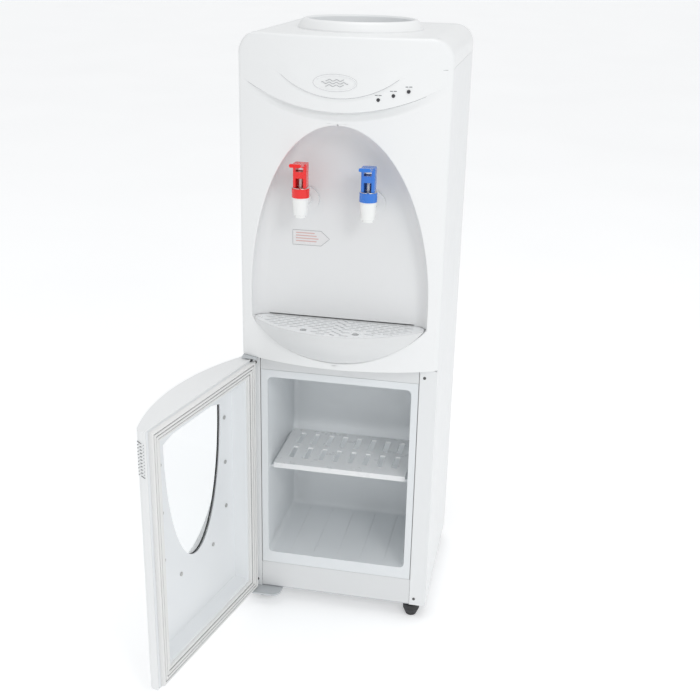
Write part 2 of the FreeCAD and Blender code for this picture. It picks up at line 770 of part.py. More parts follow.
def make_tap_mounts():
    """The rings in front of the alcove's back wall and the nuts behind it."""
    back = size("alcove_back")
    shank = size("shank_height")
    rings = []
    nuts = []
    for x in tap_places():
        ring = hole(x, back - 4.1, shank, 19, 4, Vector(0, 1, 0))
        rings.append(ring.cut(hole(x, back - 6, shank, 8.1, 9, Vector(0, 1, 0))))
        nut = hole(x, back + size("moulding") + 0.1, shank, 14, 8, Vector(0, 1, 0))
        nuts.append(nut.cut(hole(x, back, shank, 8.05, 20, Vector(0, 1, 0))))
    moulding("tap_wall_rings", Part.makeCompound(rings))
    moulding("tap_back_nuts", Part.makeCompound(nuts))


# ---------------------------------------------------------------- tray and shelf

def tray_slice(inset, back_inset, low, high):
    """The tray's outline between two heights, kept clear of the pocket's arc by inset."""
    front = bowl(inset, size("tray_low") - 0.5, size("tray_rim"))
    solid = front.common(crescent_block(inset, -90, size("alcove_back") - back_inset))
    return solid.common(block(-160, 160, -90, 20, low, high))


def alcove_plan(inset, low, high):
    """A prism that follows the alcove's side walls and its rounded back corners."""
    half = size("alcove_half") - inset
    back = size("alcove_back") - inset
    solid = block(-half, half, -90, back, low, high)
    corners = [
        edge for edge in solid.Edges
        if abs(edge.CenterOfMass.y - back) < 0.01 and edge.BoundBox.ZLength > high - low - 0.01
    ]
    return solid.makeFillet(size("alcove_scoop") - inset, corners)


def make_tray():
    """The drip tray and the grille that drops into its rim."""
    low, rim = size("tray_low"), size("tray_rim")
    wall = 2.4
    ledge = rim - 4.6
    lip = rim - 2.4
    tip = 126
    ends = block(-tip, tip, -90, 20, low, rim + 1)

    tray = tray_slice(1.1, 0.8, low - 5, rim).cut(tray_slice(1.1 + wall, 0.8 + wall, low + 3, rim + 1))
    middle = tray_slice(2.6, 2.3, ledge, rim + 1).common(ends)
    over = tray_slice(0.4, 0.4, lip, rim + 1).common(bowl(2.6, low - 0.5, rim)).cut(ends)
    opening = middle.fuse(over).common(alcove_plan(0.6, ledge - 1, rim + 1))
    moulding("drip_tray", tray.cut(opening).removeSplitter())

    middle = tray_slice(3.0, 2.7, ledge + 0.3, rim - 0.2)
    middle = middle.common(block(0.3 - tip, tip - 0.3, -90, 20, low, rim))
    bridge = tray_slice(3.0, 2.7, lip + 0.3, rim - 0.2)
    over = tray_slice(1.4, 1.2, lip + 0.3, rim - 0.2).common(bowl(3.0, low - 0.5, rim))
    over = over.cut(block(-tip - 0.3, tip + 0.3, -90, 20, low, rim))
    grille = middle.multiFuse([bridge, over])
    grille = grille.common(alcove_plan(1.0, ledge - 1, rim + 1))
    grille = grille.cut(Part.makeCompound(grille_slots()))
    moulding("drip_grille", grille.removeSplitter())


def grille_slots():
    """Staggered rows of long slots, a fan of short slanted ones in the middle and two drain holes."""
    rim = size("tray_rim")
    centre = Vector(0, size("tray_radius") - size("tray_reach"), 0)
    reach = size("tray_radius") - 7
    drains = (-46, 34)
    slots = [hole(x, -50, rim - 20, 5.5, 30) for x in drains]
    for row in range(10):
        y = -62 + 7 * row
        for column in range(-7, 8):
            x = 18 * column + 9 * (row % 2)
            middle = abs(x) < 14
            half = 5 if middle else 7
            corner = Vector(abs(x) + half, y, 0).sub(centre)
            near_drain = any(abs(x - drain) < 14 and abs(y + 48) < 8 for drain in drains)
            if corner.Length > reach or abs(x) + half > 118 or near_drain:
                continue
            slot = block(x - half, x + half, y, y + 2.6, rim - 20, rim + 5)
            if middle:
                slot.rotate(Vector(x, y + 1.3, 0), Vector(0, 0, 1), 32 if x < 0 else -32)
            slots.append(slot)
    return slots


def make_shelf():
    """A moulded shelf with two rows of slots and a front lip."""
    half = "(Dims.opening_half - 6)"
    body = new_body("cabinet_shelf", "-" + half, 14, "Dims.shelf_height")
    plate = rectangle(body, "shelf_plate", "2 * " + half, 136)
    pad(body, plate, 3, "shelf_pad")
    lip = rectangle(body, "shelf_lip", "2 * " + half, 3, 0, 0, -6)
    pad(body, lip, 6.5, "shelf_lip_pad")
    for row, y in enumerate((26, 80)):
        slot = rectangle(body, "shelf_slot_%d" % row, 9, 42, 18, y, -1)
        opening = pocket_up(body, slot, 6, "shelf_slot_cut_%d" % row)
        repeat(body, opening, "X_Axis", 175, 8, "shelf_slots_%d" % row)


# ---------------------------------------------------------------- the door

def door_place():
    """The open door: closed-position coordinates turned about the hinge pins' axis."""
    pin = Vector(size("hinge_across"), size("hinge_front"), 0)
    turn = Rotation(Vector(0, 0, 1), -size("door_open"))
    return Placement(pin, turn).multiply(Placement(-pin, Rotation()))


def hang(label, shape):
    """Add a door piece that was drawn in the closed position."""
    return moulding(label, shape, door_place())


def ring_block(half, low, high, inner, front, back):
    solid = block(-half, half, front, back, low, high)
    return solid.cut(block(-half + inner, half - inner, front - 1, back + 1, low + inner, high - inner))


def make_door():
    half = size("width") / 2 - 0.5
    low, high = size("door_low"), size("door_high")
    apex = size("door_depth")
    wall = size("moulding")
    pin = (size("hinge_across"), size("hinge_front"))
    radius = size("hinge_pin")

    back = -7.2
    shell = bow_block(apex, half, back, low, high)
    shell = shell.cut(bow_block(apex, half, back + 1, low + wall, high - wall, wall))
    shell = shell.cut(shield_block(27, -90, -20))
    for z in (low - 1, high - wall - 1):
        shell = shell.cut(hole(pin[0], pin[1], z, 6.1, wall + 2))
    corner = block(-half - 1, pin[0], pin[1] - 9, 0, low - 1, high + 1)
    shell = shell.cut(corner.cut(hole(pin[0], pin[1], low - 2, 11.7, high - low + 4)))
    ribs = [
        block(half - 0.1, half + 0.9, -20, -9, 383 + 5 * count, 385 + 5 * count)
        for count in range(10)
    ]
    for rib in ribs:
        rib.rotate(Vector(half, -14, rib.CenterOfMass.z), Vector(1, 0, 0), 25)
        shell = shell.fuse(rib)

    # the dished inner liner
    deep = -size("recess_depth")
    skin = 1.5
    face = block(-half + 3.2, half - 3.2, back - skin, back - 0.1, low + 3, high - 3)

    def dish(grow, floor):
        wires = []
        for y, inset in ((back + 0.5, 0.0), (floor, 7.0)):
            x = 122 - inset + grow
            z0, z1 = 54 + inset - grow, 418 - inset + grow
            wires.append(Part.makePolygon([
                Vector(-x, y, z0), Vector(x, y, z0), Vector(x, y, z1), Vector(-x, y, z1), Vector(-x, y, z0),
            ]))
        return Part.makeLoft(wires, True, True)

    liner = face.fuse(dish(skin, deep - skin)).cut(dish(0, deep))
    liner = liner.common(block(-half, half, -60, back - 0.1, low, high))
    liner = liner.cut(shield_block(0, -90, 0))
    for x, z in door_screw_places():
        liner = liner.cut(hole(x, -60, z, 1.3, 60, Vector(0, 1, 0)))
    gasket = ring_block(146, 29, 445, 21, back, -0.7)
    for z in (low - 1, high - 11.5):
        liner = liner.cut(hole(pin[0], pin[1], z, 7, 12.5))
        gasket = gasket.cut(hole(pin[0], pin[1], z, 6.6, 12.5))
    hang("door_liner", liner.removeSplitter())
    hang("door_gasket", gasket)

    pane = shield_block(14, deep - skin - 3.1, deep - skin - 0.1)
    for x, z in door_screw_places():
        pane = pane.cut(hole(x, -60, z, 1.6, 60, Vector(0, 1, 0)))
    hang("door_window", pane)
    bezel = shield_block(29.5, -60, deep - skin - 3.3).cut(shield_block(3, -70, 0))
    inner = bow_block(apex, half, 0, low + wall, high - wall, wall - 0.5)
    bezel = bezel.common(inner)
    flare = shield_block(26.5, -60, deep - skin - 6.3)
    shell = shell.fuse(bezel.cut(flare))
    for x, z in door_screw_places():
        shell = shell.cut(hole(x, deep - 9.5, z, 1.3, 9, Vector(0, 1, 0)))
    hang("door_shell", shell.removeSplitter())

    screws = []
    for x, z in door_screw_places():
        shank = hole(x, deep - 9, z, 1.25, 9.1, Vector(0, 1, 0))
        screws.append(shank.fuse(hole(x, deep + 0.02, z, 3.2, 1.4, Vector(0, 1, 0))))
    hang("window_screws", Part.makeCompound(screws))

    bushes = []
    for z, flip in ((low, 1), (high, -1)):
        bush = hole(pin[0], pin[1], min(z, z + flip * 11), 6, 11)
        bushes.append(bush.cut(hole(pin[0], pin[1], min(z, z + flip * 11) - 1, radius + 0.06, 13)))
    hang("door_bushes", Part.makeCompound(bushes))


def door_screw_places():
    """Four screws down each side of the window, the lowest pair drawn in."""
    side = [(91, 365), (91, 287), (91, 208), (47.5, 159)]
    return side + [(-x, z) for x, z in side]


def make_hinges():
    x, y = size("hinge_across"), size("hinge_front")
    low, split = size("base_height"), size("split_height")
    plate = block(-152, -92, -14, 40, low - 3.4, low - 0.3)
    nose = hole(-137, -9, low - 3.4, 15, 3.1).fuse(hole(-107, -9, low - 3.4, 15, 3.1))
    nose = nose.fuse(block(-137, -107, -24, 0, low - 3.4, low - 0.3))
    plate = plate.cut(block(-160, -80, -30, -9, 0, low)).fuse(nose)
    plate = plate.cut(hole(-130, 15, 0, 4.3, 40))
    moulding("lower_hinge_plate", plate.removeSplitter())
    upper = block(-152, -127.8, -20, 26, split - 3.2, split - 0.05)
    moulding("upper_hinge_plate", upper)
    pins = [
        hole(x, y, low - 0.3, size("hinge_pin"), size("door_low") - low + 10),
        hole(x, y, size("door_high") - 9, size("hinge_pin"), split - 3.2 - size("door_high") + 9),
    ]
    moulding("hinge_pins", Part.makeCompound(pins))


def make_feet():
    feet = []
    for x, y in foot_places():
        top = size("base_height") - 3.7
        foot = turned([(0, 0), (9, 0), (14, 12), (14, top), (0, top)], x, y)
        feet.append(foot.fuse(hole(x, y, 10, 4, size("base_height") + 2)))
    moulding("rubber_feet", Part.makeCompound(feet))


def make_flange_screws():
    heads = []
    for x in (-135.5, 135.5):
        for z in (37, 439):
            heads.append(hole(x, -0.5, z, 2.4, 0.5, Vector(0, 1, 0)))
    moulding("flange_screws", Part.makeCompound(heads))


# ---------------------------------------------------------------- build and export

make_base()
make_side("left_side_panel", -1)
make_side("right_side_panel", 1)
make_rear()
make_rails()
make_liner()
make_foam()
make_front_panel()
make_badge_and_lights()
make_top_cover()
make_bottle_seat()
make_tanks()
make_hoses()
make_compressor()
make_condenser()
make_rear_fittings()
for prefix, place in zip(("hot", "cold"), tap_places()):
    make_tap(prefix, place)
make_tap_mounts()
make_tray()
make_shelf()
make_door()
make_hinges()
make_feet()
make_flange_screws()

doc.recompute()
for item in doc.Objects:
    if {"Invalid", "Error"} & set(item.State):
        raise ValueError("%s failed: %s" % (item.Name, item.State))
for part in sub_parts:
    if part.Shape.isNull() or not part.Shape.isValid():
        raise ValueError("%s has no valid shape" % part.Label)

os.makedirs("parts", exist_ok=True)
for part in sub_parts:
    part.Shape.exportStep("parts/%s.step" % part.Label)
print(len(sub_parts), "sub-parts")
for part in sub_parts:
    box_of = part.Shape.BoundBox
    print("%-22s solids %2d volume %9.0f  x %6.1f %6.1f  y %6.1f %6.1f  z %6.1f %6.1f" % (
        part.Label, len(part.Shape.Solids), part.Shape.Volume,
        box_of.XMin, box_of.XMax, box_of.YMin, box_of.YMax, box_of.ZMin, box_of.ZMax))
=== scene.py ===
"""Looks of a floor-standing water dispenser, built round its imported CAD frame. Metres, +Z up."""
import math

import bmesh
import bpy
import numpy as np
from mathutils import Matrix, Vector


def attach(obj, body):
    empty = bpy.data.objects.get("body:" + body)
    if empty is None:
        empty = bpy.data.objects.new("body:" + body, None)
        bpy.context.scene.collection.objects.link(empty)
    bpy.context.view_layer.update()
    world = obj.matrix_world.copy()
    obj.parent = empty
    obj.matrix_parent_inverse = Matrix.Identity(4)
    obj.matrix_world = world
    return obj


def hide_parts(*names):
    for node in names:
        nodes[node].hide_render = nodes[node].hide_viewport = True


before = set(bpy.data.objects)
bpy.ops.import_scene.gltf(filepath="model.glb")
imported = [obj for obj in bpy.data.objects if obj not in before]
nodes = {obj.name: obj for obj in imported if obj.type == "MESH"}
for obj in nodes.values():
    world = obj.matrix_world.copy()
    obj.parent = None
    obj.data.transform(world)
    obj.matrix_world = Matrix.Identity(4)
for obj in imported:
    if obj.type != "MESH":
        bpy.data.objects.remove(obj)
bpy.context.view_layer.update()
MM = 0.001


# ---------------------------------------------------------------- materials

class Graph:
    """A short way to build a node material."""

    def __init__(self, name):
        self.material = bpy.data.materials.new(name)
        self.material.use_nodes = True
        self.tree = self.material.node_tree
        self.shader = self.tree.nodes["Principled BSDF"]
        self.place = self.add("ShaderNodeTexCoord").outputs["Object"]

    def add(self, kind, **settings):
        node = self.tree.nodes.new(kind)
        for key, value in settings.items():
            setattr(node, key, value)
        return node

    def link(self, source, target):
        self.tree.links.new(source, target)

    def noise(self, scale, detail=3.0, rough=0.5, stretch=None):
        source = self.place
        if stretch:
            mapping = self.add("ShaderNodeMapping")
            mapping.inputs["Scale"].default_value = stretch
            self.link(self.place, mapping.inputs["Vector"])
            source = mapping.outputs["Vector"]
        node = self.add("ShaderNodeTexNoise")
        node.inputs["Scale"].default_value = scale
        node.inputs["Detail"].default_value = detail
        node.inputs["Roughness"].default_value = rough
        self.link(source, node.inputs["Vector"])
        return node.outputs["Fac"]

    def spread(self, source, low, high, start=0.3, end=0.7):
        node = self.add("ShaderNodeMapRange")
        node.inputs["From Min"].default_value = start
        node.inputs["From Max"].default_value = end
        node.inputs["To Min"].default_value = low
        node.inputs["To Max"].default_value = high
        self.link(source, node.inputs["Value"])
        return node.outputs["Result"]

    def blend(self, factor, first, second):
        node = self.add("ShaderNodeMix", data_type="RGBA")
        self.link(factor, node.inputs["Factor"])
        for value, key in ((first, "A"), (second, "B")):
            socket = [s for s in node.inputs if s.name == key and s.type == "RGBA"][0]
            if isinstance(value, tuple):
                socket.default_value = (*value, 1)
            else:
                self.link(value, socket)
        return [s for s in node.outputs if s.type == "RGBA"][0]

    def bump(self, *layers):
        normal = None
        for source, distance in layers:
            node = self.add("ShaderNodeBump")
            node.inputs["Strength"].default_value = 1.0
            node.inputs["Distance"].default_value = distance
            self.link(source, node.inputs["Height"])
            if normal is not None:
                self.link(normal, node.inputs["Normal"])
            normal = node.outputs["Normal"]
        self.link(normal, self.shader.inputs["Normal"])


def finish_of(name, colour, tint, rough, grain=(900, 0.00002), peel=(140, 0.00005), metal=0.0,
              coat=0.0, scuff=0.0, ior=1.5, subsurface=0.0, transmission=0.0, stretch=None, fade=None):
    """A moulded, painted or metal finish: drifting tone, uneven gloss, fine grain, faint scuffs, and with
    fade a height ramp of painted shade.
    """
    graph = Graph(name)
    shader = graph.shader
    drift = graph.spread(graph.noise(5.5, 4), 0, 1)
    tone = graph.blend(drift, colour, tint)
    if scuff:
        marks = graph.noise(60, 6, 0.65, (1, 1, 0.35))
        mask = graph.spread(marks, 0, scuff, 0.62, 0.72)
        dull = tuple(c * 0.72 for c in tint)
        tone = graph.blend(mask, tone, dull)
    # fade = (low z, high z, colour): painted shade, colour at and below low z, the base tone at and above
    # high z
    if fade:
        split = graph.add("ShaderNodeSeparateXYZ")
        graph.link(graph.place, split.inputs["Vector"])
        tone = graph.blend(graph.spread(split.outputs["Z"], 1, 0, fade[0], fade[1]), tone, fade[2])
    graph.link(tone, shader.inputs["Base Color"])
    cloud = graph.noise(38, 5, 0.6, stretch)
    graph.link(graph.spread(cloud, rough * 0.82, min(1.0, rough * 1.25)), shader.inputs["Roughness"])
    shader.inputs["Metallic"].default_value = metal
    shader.inputs["Coat Weight"].default_value = coat
    shader.inputs["Coat Roughness"].default_value = 0.08
    shader.inputs["IOR"].default_value = ior
    shader.inputs["Subsurface Weight"].default_value = subsurface
    shader.inputs["Subsurface Radius"].default_value = (0.004, 0.004, 0.004)
    shader.inputs["Transmission Weight"].default_value = transmission
    graph.bump((graph.noise(peel[0], 2), peel[1]), (graph.noise(grain[0], 3, 0.6, stretch), grain[1]))
    return graph.material


SHELL = finish_of("moulded_shell", (0.865, 0.872, 0.872), (0.852, 0.862, 0.864), 0.36, (1300, 0.000003),
                  (170, 0.000005), coat=0.12, scuff=0.012)
# painted shade: a darker copy of the shell for the alcove's inside, darkest from 0.74 m up and close to the
# shell's tone below 0.53 m
ALCOVE = finish_of("alcove_painted_shade", (0.755, 0.762, 0.765), (0.74, 0.748, 0.752), 0.42, (1300, 0.000003),
                   (170, 0.000005), scuff=0.012, fade=(0.53, 0.74, (0.85, 0.857, 0.86)))
# painted shade: a darker copy of the shell for the drip tray
TRAY = finish_of("tray_painted_shade", (0.74, 0.748, 0.75), (0.72, 0.73, 0.732), 0.38, (1300, 0.000003),
                 (170, 0.000005), coat=0.1, scuff=0.02)
# painted shade: a darker copy of the sheet finish for the header rail and kick panel
RAIL = finish_of("rail_paint_and_painted_shade", (0.75, 0.76, 0.765), (0.73, 0.742, 0.748), 0.4, (1500, 0.000006),
                 (420, 0.00001), coat=0.1, scuff=0.02)
SHEET = finish_of("powder_coated_sheet", (0.83, 0.84, 0.845), (0.815, 0.828, 0.833), 0.36, (1500, 0.000006),
                  (420, 0.00001), coat=0.1, scuff=0.02)
INNER = finish_of("vacuum_formed_liner", (0.80, 0.825, 0.84), (0.775, 0.803, 0.82), 0.34, (700, 0.00001),
                  (90, 0.00003), scuff=0.03)
DOOR_INNER = finish_of("door_liner_plastic", (0.83, 0.85, 0.862), (0.81, 0.832, 0.848), 0.36, (800, 0.00001),
                       (110, 0.00004), scuff=0.04)
GASKET = finish_of("soft_gasket", (0.82, 0.82, 0.81), (0.79, 0.79, 0.78), 0.55, (1100, 0.00001),
                   (200, 0.00003), subsurface=0.05)
SHELF = finish_of("shelf_plastic", (0.86, 0.872, 0.878), (0.84, 0.853, 0.86), 0.3, (900, 0.00001),
                  (130, 0.00002), subsurface=0.04)
RED = finish_of("red_plastic", (0.90, 0.010, 0.008), (0.84, 0.008, 0.008), 0.24, (1500, 0.00001),
                (260, 0.00002), coat=0.4)
BLUE = finish_of("blue_plastic", (0.022, 0.20, 0.72), (0.02, 0.165, 0.64), 0.24, (1500, 0.00001),
                 (260, 0.00002), coat=0.4)
MILKY = finish_of("milky_plastic", (0.89, 0.90, 0.885), (0.87, 0.88, 0.87), 0.22, (1400, 0.00001),
                  (240, 0.00002), coat=0.2, subsurface=0.15)
STEM = finish_of("stem_plastic", (0.80, 0.79, 0.75), (0.75, 0.74, 0.70), 0.3, subsurface=0.1)
ZINC = finish_of("zinc_plate", (0.62, 0.62, 0.61), (0.52, 0.52, 0.50), 0.3, (2500, 0.00001), (500, 0.00002),
                 metal=1.0, scuff=0.3)
STEEL = finish_of("drawn_steel", (0.66, 0.66, 0.65), (0.58, 0.58, 0.57), 0.26, (1200, 0.00001),
                  (300, 0.00001), metal=1.0, stretch=(1, 1, 0.1))
GREY_PAINT = finish_of("grey_hinge_paint", (0.56, 0.585, 0.60), (0.50, 0.525, 0.545), 0.38, scuff=0.3)
GALVANISED = finish_of("galvanised_sheet", (0.60, 0.61, 0.62), (0.50, 0.515, 0.53), 0.42, (600, 0.00003),
                       (60, 0.00006), metal=0.85, scuff=0.3)
BLACK_PAINT = finish_of("black_enamel", (0.018, 0.018, 0.02), (0.03, 0.03, 0.032), 0.35, (1200, 0.00003),
                        (200, 0.00008), coat=0.3, scuff=0.2)
BLACK_RUBBER = finish_of("black_rubber", (0.022, 0.022, 0.024), (0.04, 0.04, 0.042), 0.62, (900, 0.00008),
                         (150, 0.00008), scuff=0.3)
DARK_PLASTIC = finish_of("dark_plastic", (0.035, 0.035, 0.04), (0.05, 0.05, 0.055), 0.4, (1400, 0.00004))
GREY_FUNNEL = finish_of("grey_funnel_plastic", (0.50, 0.53, 0.56), (0.44, 0.47, 0.50), 0.35, (900, 0.00003))
FOAM = finish_of("rigid_foam", (0.70, 0.70, 0.68), (0.62, 0.62, 0.60), 0.85, (500, 0.0004), (90, 0.0006))
GREEN = finish_of("green_rocker", (0.02, 0.28, 0.12), (0.015, 0.22, 0.09), 0.25)
SCREW_GREY = finish_of("aged_screw", (0.16, 0.16, 0.16), (0.10, 0.10, 0.10), 0.35, (2500, 0.00001),
                       (500, 0.00002), metal=0.8, scuff=0.2)
GROOVE = finish_of("groove_shade", (0.20, 0.205, 0.21), (0.26, 0.265, 0.27), 0.7, (1500, 0.00002),
                   (400, 0.00002))
CHROME = finish_of("chromed_washer", (0.80, 0.79, 0.76), (0.70, 0.69, 0.66), 0.16, (2200, 0.00001),
                   (500, 0.00001), metal=1.0, scuff=0.1)
PRINT = finish_of("grey_print", (0.24, 0.25, 0.26), (0.32, 0.33, 0.34), 0.5, (2600, 0.00001), (600, 0.00001))
LABEL = finish_of("plain_label", (0.80, 0.79, 0.795), (0.77, 0.765, 0.77), 0.3, (1500, 0.000004),
                  (200, 0.00001))
PINK_PRINT = finish_of("pink_print", (0.62, 0.36, 0.34), (0.70, 0.46, 0.44), 0.5, (2600, 0.00001),
                       (600, 0.00001))
SEAM = finish_of("seam_shadow", (0.40, 0.41, 0.42), (0.46, 0.47, 0.48), 0.6, (1200, 0.00002),
                 (300, 0.00002))
HOSE = finish_of("silicone_hose", (0.72, 0.72, 0.69), (0.66, 0.66, 0.62), 0.35, subsurface=0.15)


def clear_pane():
    """The window's clear plastic, with a faint uneven film."""
    graph = Graph("clear_pane")
    shader = graph.shader
    shader.inputs["Base Color"].default_value = (0.96, 0.975, 0.98, 1)
    shader.inputs["Transmission Weight"].default_value = 1.0
    shader.inputs["IOR"].default_value = 1.08
    film = graph.spread(graph.noise(30, 5, 0.6), 0.0, 0.05)
    graph.link(film, shader.inputs["Roughness"])
    graph.bump((graph.noise(14, 2), 0.00005))
    return graph.material


PANE = clear_pane()

# ALCOVE, TRAY and RAIL carry painted shade: darker copies of the shell and sheet finishes
DRESS = {
    "base_plate": GALVANISED, "left_side_panel": SHEET, "right_side_panel": SHEET, "rear_panel": GALVANISED,
    "header_rail": RAIL, "kick_panel": RAIL, "partition_plate": GALVANISED, "cabinet_liner": INNER,
    "foam_insulation": FOAM, "front_panel": SHELL, "badge": SHELL, "indicator_lights": DARK_PLASTIC,
    "top_cover": SHELL, "bottle_seat": GREY_FUNNEL, "guard_spike": SHELF, "cold_tank": STEEL,
    "cold_tank_jacket": FOAM, "hot_tank": STEEL, "hot_tank_bracket": GALVANISED, "hot_water_tube": HOSE,
    "cold_water_tube": HOSE, "compressor": BLACK_PAINT, "compressor_grommets": BLACK_RUBBER,
    "condenser_tube": BLACK_PAINT, "condenser_wires": BLACK_PAINT, "condenser_clips": DARK_PLASTIC,
    "switch_housing": DARK_PLASTIC, "hot_switch": RED, "cold_switch": GREEN, "cord_gland": BLACK_RUBBER,
    "drain_spout": MILKY, "drain_cap": DARK_PLASTIC, "thermostat_knob": DARK_PLASTIC,
    "hot_tap_body": MILKY, "hot_tap_nut": RED, "hot_tap_lever": RED, "hot_tap_stem": STEM,
    "hot_tap_spring": STEEL, "cold_tap_body": MILKY, "cold_tap_nut": BLUE, "cold_tap_lever": BLUE,
    "cold_tap_stem": STEM, "cold_tap_spring": STEEL, "tap_wall_rings": ALCOVE, "tap_back_nuts": MILKY,
    "drip_tray": TRAY, "drip_grille": SHELF, "cabinet_shelf": SHELF, "door_shell": SHELL,
    "door_liner": DOOR_INNER, "door_gasket": GASKET, "door_window": PANE, "window_screws": ZINC,
    "door_bushes": DARK_PLASTIC, "lower_hinge_plate": GREY_PAINT, "upper_hinge_plate": GREY_PAINT,
    "hinge_pins": STEEL, "rubber_feet": BLACK_RUBBER, "flange_screws": SCREW_GREY,
}
for name, finish in DRESS.items():
    mesh = nodes[name].data
    mesh.materials.clear()
    mesh.materials.append(finish)


def soften(names, width, angle=35, segments=2):
    """Round the CAD edges a little, so that they catch the light."""
    for name in names:
        bevel = nodes[name].modifiers.new("soft_edges", "BEVEL")
        bevel.width = width * MM
        bevel.segments = segments
        bevel.limit_method = "ANGLE"
        bevel.angle_limit = math.radians(angle)
        bevel.harden_normals = True


soften(["left_side_panel", "right_side_panel", "header_rail", "kick_panel", "cabinet_shelf",
        "lower_hinge_plate", "upper_hinge_plate", "condenser_clips"], 0.4)


# ---------------------------------------------------------------- mesh helpers

def piece(name, points, faces, finish, body, smooth=True, sharp=38):
    """A mesh piece from points in millimetres."""
    mesh = bpy.data.meshes.new(name)
    mesh.from_pydata([tuple(c * MM for c in p) for p in points], [], faces)
    mesh.materials.append(finish)
    made = bpy.data.objects.new(name, mesh)
    bpy.context.scene.collection.objects.link(made)
    work = bmesh.new()
    work.from_mesh(mesh)
    bmesh.ops.remove_doubles(work, verts=work.verts, dist=0.00002)
    bmesh.ops.dissolve_degenerate(work, edges=work.edges, dist=0.00001)
    bmesh.ops.recalc_face_normals(work, faces=work.faces)
    for face in work.faces:
        face.smooth = smooth
    for edge in work.edges:
        if len(edge.link_faces) == 2 and edge.calc_face_angle() > math.radians(sharp):
            edge.smooth = False
    work.to_mesh(mesh)
    work.free()
    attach(made, body)
    return made


def grid_faces(rows, columns, start=0, flip=False):
    """Quads between neighbouring points of a grid that is stored row by row."""
    faces = []
    for row in range(rows - 1):
        for column in range(columns - 1):
            a = start + row * columns + column
            quad = (a, a + 1, a + columns + 1, a + columns)
            faces.append(quad[::-1] if flip else quad)
    return faces


def smoothstep(low, high, value):
    """0 below low, 1 above high, and a smooth rise between them."""
    share = np.clip((value - low) / (high - low), 0, 1)
    return share * share * (3 - 2 * share)


# ---------------------------------------------------------------- the front panel

# the panel in plan and in height, in millimetres
BOW = 375.0
APEX = 40.5
HALF = 155.0
CORNER = 10.0
SPLIT = 455.0
TOP = 946.0
CROWN = 30.0
REAR_Y = -0.3
EDGE_ROUND = 2.2
TOP_ROLL = 4.0

# the arched alcove and the tray's crescent below it
ARCH_HALF = 136.0
ARCH_SPRING = 555.0
ARCH_RISE = 270.0
ALCOVE_BACK = 9.0
SCOOP = 22.0
TIP = 522.0
TRAY_LOW = 466.0
TRAY_RIM = 520.0

# the brow's and the crease's arcs across the forehead
BROW_Z = 843.5
BROW_RADIUS = 296.0
CREASE_Z = 863.4
CREASE_RADIUS = 139.0
CREASE_REACH = 84.0


def bow_y(x, inset=0.0):
    """The bowed face's depth at x."""
    radius = BOW - inset
    return BOW - APEX - math.sqrt(radius ** 2 - x ** 2)


def crescent_radius():
    """The radius of the arc through the tray's two tips and its lowest point."""
    drop = TIP - TRAY_LOW
    return (ARCH_HALF ** 2 + drop ** 2) / (2 * drop)


def hole_edge():
    """The opening's right half as (x, z, outward x, outward z), from the bottom middle to the arch's top."""
    rim = []
    radius = crescent_radius()
    centre = TRAY_LOW + radius
    end = math.asin(ARCH_HALF / radius)
    for step in range(27):
        turn = end * step / 26
        out_x, out_z = math.sin(turn), -math.cos(turn)
        rim.append((radius * out_x, centre + radius * out_z, out_x, out_z))
    rim[-1] = (ARCH_HALF, TIP, 0.93, -0.37)
    for step in range(1, 8):
        rim.append((ARCH_HALF, TIP + (ARCH_SPRING - TIP) * step / 8, 1.0, 0.0))
    for step in range(97):
        turn = math.pi / 2 * step / 96
        x, z = ARCH_HALF * math.cos(turn), ARCH_RISE * math.sin(turn)
        nx, nz = x / ARCH_HALF ** 2, z / ARCH_RISE ** 2
        size = math.hypot(nx, nz)
        rim.append((x, ARCH_SPRING + z, nx / size, nz / size))
    return rim


def corner_path(z, inset=0.0, steps=7):
    """The rounded vertical corner and the side, as (x, y), at height z; narrower in the crown."""
    rise = max(0.0, z - (TOP - CROWN))
    half = HALF - CROWN + math.sqrt(max(CROWN ** 2 - rise ** 2, 0.0)) - inset
    big = BOW - inset
    small = CORNER - min(inset, 6)
    centre = BOW - APEX
    corner_x = half - small
    corner_y = centre - math.sqrt((big - small) ** 2 - corner_x ** 2)
    start = math.atan2(corner_y - centre, corner_x)
    path = []
    for step in range(steps + 1):
        turn = start - start * step / steps
        path.append((corner_x + small * math.cos(turn), corner_y + small * math.sin(turn)))
    return path


def brow_z(x):
    """The brow line's height at x."""
    return BROW_Z + BROW_RADIUS - math.sqrt(BROW_RADIUS ** 2 - min(abs(x), 150.0) ** 2)


def crease_z(x):
    """The crease's height at x: an arc, carried on past its ends at a slope."""
    reach = min(abs(x), CREASE_REACH)
    arc = CREASE_Z + CREASE_RADIUS - math.sqrt(CREASE_RADIUS ** 2 - reach ** 2)
    return arc + max(0.0, abs(x) - CREASE_REACH) * 0.42


# profiles across the brow and the crease: height above the line, and proud share
BROW_SHAPE = [(-12.5, 0.0), (-10.8, -0.2), (-8.4, -0.8), (-5.8, -1.4), (-3.0, -1.8), (-0.6, -1.9),
              (-0.15, -1.5), (0.0, 0.45), (0.25, 0.8), (0.8, 0.96), (1.8, 1.0)]
CREASE_SHAPE = [(-5.0, 0.0), (-3.2, -0.1), (-1.6, -0.5), (-0.5, -0.7), (-0.12, -0.5), (0.0, 0.5),
                (0.4, 0.85), (1.8, 1.0)]
BROW_PROUD = 3.5
CREASE_PROUD = 1.7


